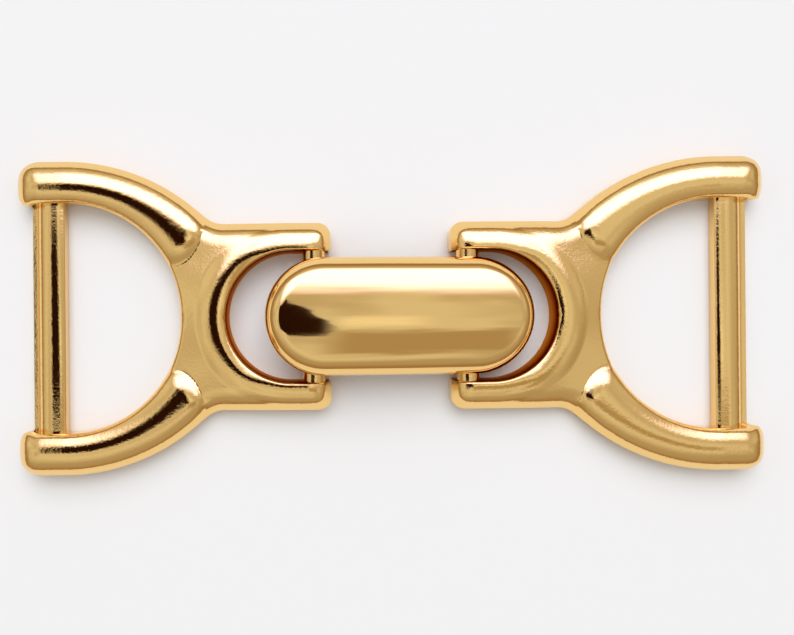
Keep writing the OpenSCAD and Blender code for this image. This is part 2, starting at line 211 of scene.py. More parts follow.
# Half a frame is worked out in (a, y): a runs from the D's centre towards the tips, and y across.
# Arrays of points go in, and heights or distances come out.

def ease(value, start=0.0, run=1.0):
    """Smooth step from 0, where value is start, to 1, a run further on."""
    c = np.clip((value - start) / run, 0, 1)
    return c * c * (3 - 2 * c)


def mix(p, q, t):
    """From p, where t is 0, to q, where t is 1."""
    return p + (q - p) * t


def ramp(distance, soft):
    """The distance where it is over zero, and nothing below, with a soft start."""
    return soft * np.log1p(np.exp(np.clip(distance / soft, -30, 30)))


def both(t1, t2):
    """Distance past two crests that meet in a rounded corner."""
    return np.cbrt(np.maximum(t1, 0) ** 3 + np.maximum(t2, 0) ** 3)


def further(t1, t2, soft):
    """The larger of two distances, rounded where they are alike."""
    return (t1 + t2 + np.hypot(t1 - t2, soft)) / 2


def higher(z1, z2, width):
    """The higher of two surfaces, with a hollow of this width where they meet."""
    h = np.clip(0.5 + 0.5 * (z1 - z2) / width, 0, 1)
    return mix(z2, z1, h) + width * h * (1 - h)


def fall(depth, radius, reach, flank=ROUND_FLANK):
    """Drop of a rounded edge: an arc of this radius, reach in from the edge, then a straight flank."""
    turn = math.radians(flank)
    t = np.maximum(reach - np.maximum(depth, 0), 0)
    arc = np.minimum(t, np.minimum(radius * math.sin(turn), reach))
    return radius - np.sqrt(np.maximum(radius ** 2 - arc ** 2, 0)) + (t - arc) * math.tan(turn)


def bead_fall(t, wide_radius, wide_turn, tight_radius, tight_turn):
    """Drop of a bead's side, t away from its crest: a wide arc, a tighter one, then a straight flank."""
    g1, g2 = math.radians(wide_turn), math.radians(tight_turn)
    t = np.maximum(t, 0)
    t1 = wide_radius * math.sin(g1)
    t2 = t1 + tight_radius * (math.sin(g2) - math.sin(g1))
    wide = wide_radius - np.sqrt(wide_radius ** 2 - np.minimum(t, t1) ** 2)
    u = np.clip(t - t1, 0, t2 - t1) + tight_radius * math.sin(g1)
    tight = tight_radius * math.cos(g1) - np.sqrt(tight_radius ** 2 - u ** 2)
    return wide + tight + np.maximum(t - t2, 0) * math.tan(g2)


def corner_depth(d1, d2, r):
    """Depth from two square edges that meet in a corner of radius r."""
    return np.where((d1 < r) & (d2 < r), r - np.hypot(r - d1, r - d2), np.minimum(d1, d2))


def corner_inset(d, r):
    """How far a corner of radius r lies inside its square edge, at distance d along it."""
    return np.where(d >= r, 0, r - np.sqrt(np.maximum(r * r - (r - d) ** 2, 0)))


def on_circle(a, y, radius, turn):
    """Point of a circle round (a, y), at a turn in radians."""
    return a + radius * math.cos(turn), y + radius * math.sin(turn)


def skin(rings, n):
    """Faces between each ring of n points and the next."""
    return [(s * n + k, s * n + (k + 1) % n, (s + 1) * n + (k + 1) % n, (s + 1) * n + k)
            for s in range(rings - 1) for k in range(n)]


def prism(section, y_from, y_to, steps=1):
    """A section of (x, z) points carried across the strap, with flat ends."""
    n, last = len(section), steps * len(section)
    faces = skin(steps + 1, n) + [tuple(range(n - 1, -1, -1)), tuple(last + k for k in range(n))]
    return np.array([(x, y, z) for y in np.linspace(y_from, y_to, steps + 1) for x, z in section]), faces


def join(parts):
    """One set of points and faces from several."""
    points, faces, base = [], [], 0
    for p, f in parts:
        points.append(p)
        faces += [tuple(base + i for i in face) for face in f]
        base += len(p)
    return np.vstack(points), faces


def make_object(name, points_mm, faces):
    """A smooth-shaded object with its sharp edges kept, from points in millimetres."""
    mesh = bpy.data.meshes.new(name)
    mesh.from_pydata([tuple(p) for p in np.asarray(points_mm) * MM], [], faces)
    bm = bmesh.new()
    bm.from_mesh(mesh)
    bmesh.ops.remove_doubles(bm, verts=bm.verts, dist=WELD * MM)
    bmesh.ops.dissolve_degenerate(bm, dist=SLIVER * MM, edges=bm.edges)
    bmesh.ops.recalc_face_normals(bm, faces=bm.faces)
    bm.to_mesh(mesh)
    bm.free()
    if not mesh.polygons:
        raise RuntimeError(name + " came out empty")
    mesh.polygons.foreach_set("use_smooth", [True] * len(mesh.polygons))
    mesh.set_sharp_from_angle(angle=SHARP_EDGE)
    obj = bpy.data.objects.new(name, mesh)
    bpy.context.scene.collection.objects.link(obj)
    return obj


def add_mesh(obj, other):
    """Joins another object's mesh into this one's and removes the other."""
    bm = bmesh.new()
    bm.from_mesh(obj.data)
    bm.from_mesh(other.data)
    bm.to_mesh(obj.data)
    bm.free()
    bpy.data.objects.remove(other)


def cut(obj, cutter):
    """Cuts one solid out of another for good, and removes the cutter."""
    step = obj.modifiers.new("cut", "BOOLEAN")
    step.operation, step.solver, step.object = "DIFFERENCE", "EXACT", cutter
    bpy.context.view_layer.update()
    solid = bpy.data.meshes.new_from_object(obj.evaluated_get(bpy.context.evaluated_depsgraph_get()))
    if not solid.polygons:
        raise RuntimeError("cutting " + cutter.name + " left nothing of " + obj.name)
    obj.modifiers.clear()
    obj.data = solid
    bpy.data.objects.remove(cutter)


class FrameForm:
    """The form of a cast frame, worked out from its sizes."""

    def __init__(self, sizes):
        for key in sizes.__annotations__:
            setattr(self, key, getattr(sizes, key) / MM)
        self.bow_y = self.bow_radius - self.bow_offset
        self.tip_a = self.d_centre - self.tip_gap
        self.yoke_a = self.d_centre - self.yoke_centre
        self.neck_y = self.yoke_half_w + NECK_FILLET
        self.neck_a = (self.bow_radius + NECK_FILLET
                       - (self.neck_y + self.bow_offset) * math.sin(NECK_WAY)) / math.cos(NECK_WAY)
        self.crossbar_x = self.tip_gap + CROSSBAR_INSET

    def outer_depth(self, a, y):
        """Depth from the outer edge: arm end, bow, straight slope, the neck's fillet, and the yoke."""
        s, c = math.sin(NECK_WAY), math.cos(NECK_WAY)
        bow = self.bow_radius - np.hypot(a, y + self.bow_offset)
        slope = self.bow_radius - a * c - (y + self.bow_offset) * s
        fillet = np.hypot(a - self.neck_a, y - self.neck_y) - NECK_FILLET
        on_slope = (a - self.neck_a) * s < (y - self.neck_y) * c
        neck = np.where(a >= self.neck_a, self.yoke_half_w - y, np.where(on_slope, slope, fillet))
        on_bow = np.arctan2(y + self.bow_offset, a) > NECK_WAY
        return np.where(a < 0, self.bow_y - y, np.where(on_bow, bow, neck))

    def arm_inner_y(self, a):
        """Place of the arms' straight inner side, which swells inwards at their ends."""
        return self.d_radius - END_SWELL * ease(a, SWELL_START, SWELL_RUN)

    def d_depth(self, a, y):
        """Depth from the D opening's edge."""
        return np.where(a < 0, y - self.arm_inner_y(a), np.hypot(a, y) - self.d_radius)

    def opening_depth(self, a, y):
        """Depth from the edge of the yoke's opening."""
        return np.where(a < self.yoke_a, np.hypot(a - self.yoke_a, y), y) - self.yoke_radius

    def nose_depth(self, a, y):
        """How far past the arm's rounded nose a point lies, on the side towards the neck."""
        ahead = (a - NOSE_A) * math.cos(NOSE_WAY) - (y - NOSE_Y) * math.sin(NOSE_WAY)
        return np.where(ahead > 0, np.maximum(np.hypot(a - NOSE_A, y - NOSE_Y) - NOSE_R, 0), 0)

    def arm_z(self, a, y, outer, d_edge):
        """Bead along an arm, softer towards the D, with a nose that falls to the neck."""
        along = (np.clip(a, 0, ARM_RUN) / ARM_RUN) ** ARM_RUN_POWER
        radius, reach, flank = NOSE_EDGE
        return (self.arm_height - ARM_SINK * np.maximum(a, 0)
                - bead_fall(both(BEAD_REACH - outer, BEAD_REACH - a - self.arm_end), *OUTER_SIDE)
                - fall(d_edge, mix(*ARM_INNER_RADIUS, along), mix(*ARM_INNER_REACH, along))
                - fall(reach - self.nose_depth(a, y), radius, reach, flank))

    def yoke_z(self, a, outer, opening, turn):
        """Bead round the yoke's opening, whose crest lies closer to the opening along the prongs."""
        crest = mix(CREST_IN, CREST_TIP, ease(turn, *CREST_TURNS))
        past_crest = further(opening - crest - CREST_FLAT, YOKE_BEAD_REACH - outer, CREST_BLEND)
        return (self.bead_height - bead_fall(both(past_crest, BEAD_REACH - (self.tip_a - a)), *OUTER_SIDE)
                - bead_fall(crest - opening, *YOKE_INNER_SIDE))

    def neck_z(self, a, outer, opening, turn):
        """Neck that falls away from the yoke's bead, less so towards the prongs, and rises along them."""
        slope = NECK_SLOPE * (1 - NECK_FADE * ease(turn, *NECK_FADE_TURNS))
        return (self.neck_height - slope * ramp(opening - NECK_SLOPE_START, NECK_SLOPE_SOFT)
                - bead_fall(both(BEAD_REACH - outer, BEAD_REACH - (self.tip_a - a)), *OUTER_SIDE)
                - fall(opening, *NECK_LIP) + NECK_RISE * ease(turn, *NECK_RISE_TURNS))

    def ledge_z(self, a, outer):
        """Ledge along the outer edge and round the ends, lower along the prongs."""
        rim = corner_depth(outer, np.minimum(a + self.arm_end, self.tip_a - a),
                           np.where(a < 0, ARM_CORNER, TIP_CORNER))
        return (self.ledge_height - LEDGE_DROP * ease(a, *LEDGE_DROP_RUN)
                - fall(rim, *LEDGE_EDGE) - LEDGE_FADE * np.maximum(rim - LEDGE_WIDTH, 0))

    def face_z(self, a, y):
        """Height of the face: the highest of arm, neck, yoke and ledge, with the openings' edges broken."""
        outer, d_edge, opening = self.outer_depth(a, y), self.d_depth(a, y), self.opening_depth(a, y)
        turn = np.degrees(np.where(a < self.yoke_a, np.arctan2(y, self.yoke_a - a), QUARTER))
        z = higher(self.arm_z(a, y, outer, d_edge), self.neck_z(a, outer, opening, turn), KNEE_BLEND)
        z = higher(z, self.yoke_z(a, outer, opening, turn), YOKE_BLEND)
        z = higher(z, self.ledge_z(a, outer), LEDGE_BLEND)
        return z - fall(opening, *OPENING_EDGE) - fall(d_edge, *D_EDGE)

    def stations(self):
        """Outer point, inner point and what the wall at the inner one looks to, along half a frame."""
        def bow(t):
            return on_circle(0, -self.bow_offset, self.bow_radius, t)

        def neck(t):
            return on_circle(self.neck_a, self.neck_y, -NECK_FILLET, mix(NECK_WAY, QUARTER, t))

        def dee(t):
            return on_circle(0, 0, self.d_radius, t)

        def yoke(t):
            return on_circle(self.yoke_a, 0, self.yoke_radius, t)

        def steps(count):
            return np.arange(count) / count

        # Turns at which the inner points stand where the outer ones leave the bow, the slope and the fillet
        past_bow, past_slope, past_fillet = math.radians(44), math.radians(27), math.radians(150)
        rows = []
        for k in range(CORNER_STEPS + 1):
            d = ARM_CORNER_RUN * (1 - math.cos(QUARTER * k / CORNER_STEPS))
            a = d - self.arm_end
            rows.append(((a, self.bow_y - corner_inset(d, ARM_CORNER)),
                         (a, self.arm_inner_y(a) + corner_inset(d, ARM_INNER_CORNER)), TO_D))
        for a in np.linspace(ARM_CORNER_RUN - self.arm_end, 0, ARM_STEPS, endpoint=False)[1:]:
            rows.append(((a, self.bow_y), (a, self.arm_inner_y(a)), TO_D))
        for t in steps(BOW_STEPS):
            rows.append((bow(mix(QUARTER, NECK_WAY, t)), dee(mix(QUARTER, past_bow, t)), TO_D))
        start, stop = np.array(bow(NECK_WAY)), np.array(neck(0))
        for t in steps(SLOPE_STEPS):
            rows.append((mix(start, stop, t), dee(mix(past_bow, past_slope, t)), TO_D))
        # Round the fillet, the inner points go to the middle line, along it and round the yoke's opening
        for t in steps(NECK_STEPS):
            rows.append((neck(t / 3), dee(past_slope * (1 - t)), TO_D))
        for t in steps(NECK_STEPS):
            a = mix(self.d_radius, self.yoke_a - self.yoke_radius, t)
            rows.append((neck((1 + t) / 3), (a, 0.0), TO_MIDDLE))
        for t in steps(NECK_STEPS):
            rows.append((neck((2 + t) / 3), yoke(mix(math.pi, past_fillet, t)), TO_YOKE))
        for t in steps(YOKE_STEPS):
            rows.append(((mix(self.neck_a, self.yoke_a, t), self.yoke_half_w),
                         yoke(mix(past_fillet, QUARTER, t)), TO_YOKE))
        for t in steps(PRONG_STEPS):
            a = mix(self.yoke_a, self.tip_a - TIP_CORNER_RUN, t)
            rows.append(((a, self.yoke_half_w), (a, self.yoke_radius), TO_YOKE))
        for k in range(CORNER_STEPS, -1, -1):
            d = TIP_CORNER_RUN * (1 - math.cos(QUARTER * k / CORNER_STEPS))
            a = self.tip_a - d
            rows.append(((a, self.yoke_half_w - corner_inset(d, TIP_CORNER)),
                         (a, self.yoke_radius + corner_inset(d, TIP_INNER_CORNER)), TO_YOKE))
        return rows

    def ring(self, outer, inner, side):
        """Section at one station: up the outer wall, over the face, down the inner wall, and the bevels."""
        o, i = np.array(outer), np.array(inner)
        over = (i - o) / np.hypot(*(i - o))
        foot, back = i, i
        if side == TO_D:
            back = i - BEVEL * over
        elif side == TO_YOKE:
            out = np.array([max(self.yoke_a - i[0], 0), -i[1]])
            out = out / np.hypot(*out)
            foot = i + DRAFT * out
            back = foot - BEVEL * out
        share = (1 - np.cos(np.pi * np.arange(FACE_STEPS + 1) / FACE_STEPS)) / 2
        plan = o + (i - o) * share[:, None]
        face = np.column_stack([plan, self.face_z(plan[:, 0], plan[:, 1])])
        up = np.column_stack([np.repeat(o[None], WALL_STEPS, 0),
                              np.linspace(BEVEL, face[0, 2], WALL_STEPS + 1)[:-1]])
        share = np.linspace(0, 1, WALL_STEPS + 1)[1:]
        down = np.column_stack([i + (foot - i) * share[:, None], mix(face[-1, 2], BEVEL, share)])
        return np.vstack([[[*(o + BEVEL * over), 0]], up, face, down, [[*back, 0]]])

    def casting_mesh(self):
        """Points and faces of one casting, as the right-hand frame: half of it, and the same mirrored."""
        rows = self.stations()
        half = np.vstack([self.ring(*row) for row in rows])
        on_middle = [side == TO_MIDDLE or abs(inner[1]) < ON_MIDDLE for _, inner, side in rows]
        size, n = len(half) // len(rows), len(half)
        face_end = WALL_STEPS + 1 + FACE_STEPS
        faces = []
        for s in range(len(rows) - 1):
            joined = on_middle[s] and on_middle[s + 1]
            for j in range(size):
                # The halves are joined along the middle line, so no wall stands there
                if not (joined and face_end <= j < size - 1):
                    k = (j + 1) % size
                    faces.append((s * size + j, (s + 1) * size + j, (s + 1) * size + k, s * size + k))
        faces += [tuple(range(size)), tuple(range(n - 1, n - 1 - size, -1))]
        faces += [tuple(n + i for i in reversed(f)) for f in faces]
        whole = np.vstack([half, half * np.array([1, -1, 1])])
        whole[:, 0] = self.d_centre - whole[:, 0]
        return whole, [tuple(reversed(f)) for f in faces]

    def strap_bar_mesh(self):
        """The strap bar: flat on the back, steep sides, and a crowned face whose crest lies towards the D."""
        half, lift, bevel = self.strap_bar_w / 2, STRAP_BAR_LIFT, STRAP_BAR_BEVEL
        x = half * np.cos(np.linspace(0, math.pi, STRAP_BAR_STEPS + 1))
        crown = self.strap_bar_h - bead_fall(np.abs(x - STRAP_BAR_CREST), *STRAP_BAR_SIDE)
        top = np.maximum(crown, STRAP_BAR_WALL)
        section = [(half - bevel, lift), (half, lift + bevel), *zip(x, top),
                   (-half, lift + bevel), (-half + bevel, lift)]
        middle = self.d_centre + self.strap_bar_inset
        return prism([(middle + x, z) for x, z in section], -STRAP_BAR_HALF, STRAP_BAR_HALF, BAR_STEPS)

    def crossbar_mesh(self):
        """The round bar between the tips, rooted in both prongs."""
        turns = 2 * math.pi * np.arange(ROD_SIDES) / ROD_SIDES
        r = self.crossbar_r
        section = [(self.crossbar_x + r * math.sin(g), CROSSBAR_Z + r * math.cos(g)) for g in turns]
        half = self.yoke_radius + CROSSBAR_ROOT
        return prism(section, -half, half, BAR_STEPS)

    def cast_wall_with_painted_shade(self, place, normal):
        """Whether a face is on the wall of the yoke's opening, clear of the tips and the crossbar, where
        shade is painted.
        """
        x, y = abs(place[0]) / MM, abs(place[1]) / MM
        on_wall = self.opening_depth(self.d_centre - x, y) < WALL_MARGIN and abs(normal.z) < WALL_TILT
        on_crossbar = abs(x - self.crossbar_x) < self.crossbar_r + CROSSBAR_MARGIN and y < CROSSBAR_SPAN
        return on_wall and x > self.tip_gap + TIP_MARGIN and not on_crossbar


def barrel_mesh(x, z, bore, mouth):
    """An eye of the link, or its hook when the mouth is wider than nothing: a tube that opens downwards."""
    steps, m = BARREL_STEPS, BARREL_STEPS + 1
    half = np.arcsin(mouth / 2 / np.array([EYE_R, bore]))
    share = np.linspace(0, 1, m)
    turns = [mix(h - QUARTER, 3 * QUARTER - h, share) for h in half]
    ring = np.vstack([np.column_stack([x + r * np.cos(g), z + r * np.sin(g)])
                      for r, g in zip((EYE_R, bore), turns)])
    n = len(ring)
    points = np.vstack([np.insert(ring, 1, y, axis=1) for y in (-EYE_W / 2, EYE_W / 2)])
    faces = []
    for k in range(steps):
        a, b, c, d = k, k + 1, m + k + 1, m + k
        faces += [(a, b, n + b, n + a), (d, n + d, n + c, c), (a, d, c, b), (n + a, n + b, n + c, n + d)]
    if mouth > 0:
        faces += [(k, n + k, n + m + k, m + k) for k in (0, steps)]
    return points, faces


def barrel_neck(x, z, bore, top):
    """The neck that joins a barrel to the plate; its foot follows the middle of the barrel's wall."""
    r, w, side = (EYE_R + bore) / 2, EYE_NECK_W / 2, z + EYE_NECK_SIDE * EYE_R
    turns = np.linspace(*(math.radians(t) for t in EYE_NECK_TURNS), EYE_NECK_STEPS + 1)
    foot = [on_circle(x, z, r, g) for g in turns]
    return prism([(x + w, side), *foot, (x - w, side), (x - w, top), (x + w, top)], -EYE_W / 2, EYE_W / 2)


def stadium(inset, length, width):
    """Points round the plate's outline at this inset: right end, far side, left end, near side."""
    r, core = width / 2 - inset, (length - width) / 2
    out = []
    for end in (1, -1):
        for k in range(PLATE_ARC_STEPS + 1):
            out.append(on_circle(end * core, 0, r, math.pi * k / PLATE_ARC_STEPS - end * QUARTER))
        for k in range(1, PLATE_SIDE_STEPS):
            out.append((end * (core - 2 * core * k / PLATE_SIDE_STEPS), end * r))
    return np.array(out)


def plate_mesh(sizes):
    """The link's domed stadium plate, flat on its back and tilted, hinge end up."""
    length, width, height, edge = (v / MM for v in (sizes.length, sizes.width, sizes.height, sizes.edge))
    across, along = sizes.crown_across / MM, sizes.crown_along / MM

    def face_ring(inset):
        p = stadium(inset, length, width)
        crown = p[:, 0] ** 2 / (2 * along) + p[:, 1] ** 2 / (2 * across)
        return np.column_stack([p, height - crown - fall(inset, edge, edge, PLATE_FLANK)])

    rim = face_ring(0.0)
    back = stadium(BEVEL, length, width)
    rings = [np.column_stack([back, np.zeros(len(back))])]
    rings += [np.column_stack([rim[:, :2], mix(BEVEL, rim[:, 2], t)]) for t in PLATE_WALL_RINGS]
    rings += [face_ring(edge * (1 - math.cos(g))) for g in np.linspace(0, QUARTER, PLATE_EDGE_RINGS)]
    rings += [face_ring(inset) for inset in np.linspace(edge, width / 2 - PLATE_CAP, PLATE_FACE_RINGS)[1:]]
    n = len(rim)
    faces = [tuple(range(n - 1, -1, -1))] + skin(len(rings), n)

    # The last ring is closed by a cap at each end and a strip between its long sides
    last = list(range((len(rings) - 1) * n, len(rings) * n))
    turn, half = PLATE_ARC_STEPS + 1, n // 2
    right, far, left, near = last[:turn], last[turn:half], last[half:half + turn], last[half + turn:]
    low, high = [left[-1], *near, right[0]], [left[0], *reversed(far), right[-1]]
    faces += [tuple(right), tuple(left)]
    faces += [(low[k], low[k + 1], high[k + 1], high[k]) for k in range(len(low) - 1)]

    x, y, z = np.vstack(rings).T
    c, s = math.cos(sizes.tilt), math.sin(sizes.tilt)
    return np.column_stack([x * c + z * s + PLATE_SHIFT, y, -x * s + z * c + PLATE_Z]), faces


def new_material(name):
    """A material with an empty node tree."""
    mat = bpy.data.materials.new(name)
    mat.use_nodes = True
    mat.node_tree.nodes.clear()
    return mat, mat.node_tree


def per_size(mm):
    """Scale of a noise whose blobs are about this many millimetres wide."""
    return 1 / (mm * MM)


def gold_material(look, name, roughness, wave_sizes, grain_depth, wave_depth):
    """Zinc alloy with polished gold plating: a warm mirror with a fine grain and faint waves of polish."""
    mat, tree = new_material(name)
    coords = add_node(tree, "ShaderNodeTexCoord")
    # Polishing leaves a grain of some hundredths of a millimetre. That is too fine to show, so it is drawn
    # about a fifth of a millimetre wide.
    grain = add_node(tree, "ShaderNodeTexNoise", {"noise_dimensions": "3D"},
                     {"Scale": per_size(0.2222), "Detail": 3.0, "Roughness": 0.6},
                     [(coords.outputs["Object"], "Vector")])
    bump = add_node(tree, "ShaderNodeBump", {}, {"Strength": 1.0, "Distance": grain_depth * MM},
                    [(grain.outputs["Fac"], "Height")])
    # The buffing wheel leaves waves of these sizes along, across and up
    along = add_node(tree, "ShaderNodeMapping", {},
                     {"Rotation": (0, 0, math.radians(-3)), "Scale": [per_size(v) for v in wave_sizes]},
                     [(coords.outputs["Object"], "Vector")])
    wave = add_node(tree, "ShaderNodeTexNoise", {"noise_dimensions": "3D"}, {"Scale": 1.0, "Detail": 1.5},
                    [(along.outputs["Vector"], "Vector")])
    bump = add_node(tree, "ShaderNodeBump", {}, {"Strength": 1.0, "Distance": wave_depth * MM},
                    [(wave.outputs["Fac"], "Height"), (bump.outputs["Normal"], "Normal")])
    surface = add_node(tree, "ShaderNodeBsdfPrincipled", {},
                       {"Base Color": srgb(look.gold), "Metallic": 1.0, "Roughness": roughness},
                       [(bump.outputs["Normal"], "Normal")])
    add_node(tree, "ShaderNodeOutputMaterial", {}, {}, [(surface.outputs["BSDF"], "Surface")])
    return mat


def recess_and_shade_material(look):
    """The same plating on a wall left as cast, duller and redder, with painted shade that darkens the wall
    below its edge.
    """
    mat, tree = new_material("as_cast_gold_recess_and_painted_shade")
    coords = add_node(tree, "ShaderNodeTexCoord")
    # The skin of a die casting, with bumps of about 0.4 mm
    grain = add_node(tree, "ShaderNodeTexNoise", {"noise_dimensions": "3D"},
                     {"Scale": per_size(0.4), "Detail": 2.0}, [(coords.outputs["Object"], "Vector")])
    bump = add_node(tree, "ShaderNodeBump", {}, {"Strength": 0.5, "Distance": 0.04 * MM},
                    [(grain.outputs["Fac"], "Height")])
    # Painted shade: the colour runs from dark at the wall's edge, 2.9 mm up, to lighter near its foot
    place = add_node(tree, "ShaderNodeSeparateXYZ", {}, {}, [(coords.outputs["Object"], "Vector")])
    depth = add_node(tree, "ShaderNodeMapRange", {"interpolation_type": "SMOOTHSTEP"},
                     {"From Min": 2.9 * MM, "From Max": 0.6 * MM}, [(place.outputs["Z"], "Value")])
    wall_shade = add_node(tree, "ShaderNodeMix", {"data_type": "RGBA"},
                    {6: srgb(look.recess_painted_shade), 7: srgb(look.recess_foot)}, [(depth.outputs["Result"], 0)])
    surface = add_node(tree, "ShaderNodeBsdfPrincipled", {},
                       {"Specular Tint": srgb("#E19950"), "Metallic": 1.0, "Roughness": 0.4},
                       [(wall_shade.outputs[2], "Base Color"), (bump.outputs["Normal"], "Normal")])
    add_node(tree, "ShaderNodeOutputMaterial", {}, {}, [(surface.outputs["BSDF"], "Surface")])
    return mat


class CLASP_OT_frames(bpy.types.Operator):
    """Builds the two cast frames, each with its strap bar and its crossbar"""

    bl_idname = "clasp.frames"
    bl_label = "Cast frames"

    def execute(self, context):
        look = context.scene.clasp_look
        form = FrameForm(context.scene.clasp_frame)
        points, faces = join([form.casting_mesh(), form.strap_bar_mesh(), form.crossbar_mesh()])
        plating = gold_material(look, "polished_gold_plating", 0.05, (1.667, 1.667, 1.667), 0.013, 0.012)
        recess = recess_and_shade_material(look)
        for name, turn in (("right_frame", 1), ("left_frame", -1)):
            obj = make_object(name + "_polished", points * np.array([turn, turn, 1]), faces)
            obj.data.materials.append(plating)
            obj.data.materials.append(recess)
            # Faces on the opening's walls get the as-cast material with its painted shade
            for face in obj.data.polygons:
                face.material_index = int(form.cast_wall_with_painted_shade(face.center, face.normal))
            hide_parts(name)
            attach(obj, name.split("_")[0])
        return {"FINISHED"}


class CLASP_OT_link(bpy.types.Operator):
    """Builds the link: the domed plate, the eye on the left and the hook on the right"""

    bl_idname = "clasp.link"
    bl_label = "Link plate"

    def execute(self, context):
        sizes, form = context.scene.clasp_plate, FrameForm(context.scene.clasp_frame)
        bar_x, bar_r = form.crossbar_x, form.crossbar_r
        obj = make_object("link_plate_polished", *plate_mesh(sizes))
        half, top, width = bar_r + GROOVE_SIDE, CROSSBAR_Z + bar_r + GROOVE_TOP, sizes.width / MM
        section = [(bar_x + x, z) for x, z in ((half, 0), (half, top), (-half, top), (-half, 0))]
        cut(obj, make_object("groove", *prism(section, -width, width)))
        barrels = []
        for x, mouth in ((-bar_x, 0.0), (bar_x, HOOK_MOUTH)):
            barrels += [barrel_mesh(x, CROSSBAR_Z, bar_r + EYE_PLAY, mouth),
                        barrel_neck(x, CROSSBAR_Z, bar_r + EYE_PLAY, PLATE_Z + EYE_NECK_IN)]
        add_mesh(obj, make_object("eyes", *join(barrels)))
        obj.data.set_sharp_from_angle(angle=SHARP_EDGE)
        # Buffed along its length, so the waves are long and narrow
        obj.data.materials.append(gold_material(
            context.scene.clasp_look, "buffed_gold_plating", 0.06, (14.29, 1.429, 14.29), 0.0005, 0.03))
        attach(obj, "link")
        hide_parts("link_plate")
        return {"FINISHED"}


# Studio, in millimetres and degrees
FLOOR_HALF = 1500.0
# The picture's size and the pixel under the lens, and pixels per millimetre at half the frames' height
FRAME_W, FRAME_H = 794, 635
LENS_PIXEL, PIXELS_PER_MM, MIDDLE_Z = (322, 312), 11.3, 1.7
LENS_X, LENS_Y, CAMERA_ROLL, SENSOR = -6.07, 0.38, -0.5, 36.0
# Corners of the cards that only reflections see: the flags hang level over the clasp, the softbox slants
CARD_Z = 84
SOFTBOX = [(-75, 76, 40), (95, 76, 40), (95, 22, 94), (-75, 22, 94)]
WHITE_FLAG = [(x, y, CARD_Z + 1) for x, y in ((-2, -14), (34, -14), (34, 2), (-2, 2))]
BLACK_FLAG = [(x, y, CARD_Z) for x, y in (
    (-59, -4), (-58, -14), (-52, -20), (-12, -20), (-2, -19), (3, -14),
    (-12, 13), (-18, 19), (-52, 20), (-58, 14), (-59, 6))]
GREY_FLAG = [(x, y, CARD_Z + 0.5) for x, y in ((-8, -44), (66, -44), (66, -14), (-8, -14))]


def lay_floor(look):
    """A matt white card under the clasp."""
    mesh = bpy.data.meshes.new("floor")
    w = FLOOR_HALF * MM
    mesh.from_pydata([(-w, -w, 0), (w, -w, 0), (w, w, 0), (-w, w, 0)], [], [(0, 1, 2, 3)])
    floor = bpy.data.objects.new("floor", mesh)
    bpy.context.scene.collection.objects.link(floor)
    # Uncoated card: pale and slightly cool, with no gloss to mirror the clasp
    mat, tree = new_material("matt_white_card")
    surface = add_node(tree, "ShaderNodeBsdfPrincipled", {},
                       {"Base Color": srgb(look.floor), "Roughness": 0.8})
    add_node(tree, "ShaderNodeOutputMaterial", {}, {}, [(surface.outputs["BSDF"], "Surface")])
    floor.data.materials.append(mat)


def light_room():
    """A plain room: a pale lit side overhead, patches of dimmer wall, and warm brown low down."""
    world = bpy.data.worlds.new("studio")
    bpy.context.scene.world = world
    world.use_nodes = True
    tree = world.node_tree
    tree.nodes.clear()
    smooth = {"interpolation_type": "SMOOTHSTEP"}
    way = add_node(tree, "ShaderNodeTexCoord").outputs["Generated"]
    split = add_node(tree, "ShaderNodeSeparateXYZ", {}, {}, [(way, "Vector")])
    # Paler overhead and on the far side
    towards = add_node(tree, "ShaderNodeVectorMath", {"operation": "DOT_PRODUCT"}, {1: (-0.10, 0.45, 1.0)},
                       [(way, 0)])
    lit = add_node(tree, "ShaderNodeMapRange", smooth, {"From Min": 0.2, "From Max": 0.7},
                   [(towards.outputs["Value"], "Value")])
    # Dimmer patches, as furniture gives
    clutter = add_node(tree, "ShaderNodeTexNoise", {"noise_dimensions": "3D"}, {"Scale": 2.4, "Detail": 2.5},
                       [(way, "Vector")])
    patches = add_node(tree, "ShaderNodeMapRange", smooth,
                       {"From Min": 0.38, "From Max": 0.58, "To Min": 0.35},
                       [(clutter.outputs["Fac"], "Value")])
    shade = add_node(tree, "ShaderNodeMath", {"operation": "MULTIPLY"}, {},
                     [(lit.outputs["Result"], 0), (patches.outputs["Result"], 1)])
    wall = add_node(tree, "ShaderNodeMix", {"data_type": "RGBA"}, {6: srgb("#B5ACA0"), 7: srgb("#DFDFDF")},
                    [(shade.outputs["Value"], 0)])
    # Browner from 30 degrees above the floor downwards
    low = add_node(tree, "ShaderNodeMapRange", smooth, {"From Min": 0.50, "From Max": 0.12},
                   [(split.outputs["Z"], "Value")])
    room = add_node(tree, "ShaderNodeMix", {"data_type": "RGBA"}, {7: srgb("#A2896F")},
                    [(low.outputs["Result"], 0), (wall.outputs[2], 6)])
    back = add_node(tree, "ShaderNodeBackground", {}, {"Strength": 1.0}, [(room.outputs[2], "Color")])
    add_node(tree, "ShaderNodeOutputWorld", {}, {}, [(back.outputs["Background"], "Surface")])


def add_window(look):
    """A wide, soft window light that gives the clasp its faint shadow."""
    data = bpy.data.lights.new("window", "SUN")
    data.energy = look.window
    data.angle = math.radians(50)
    lamp = bpy.data.objects.new("window", data)
    lamp.rotation_euler = (math.radians(-32), 0, 0)
    lamp.visible_glossy = False
    bpy.context.scene.collection.objects.link(lamp)


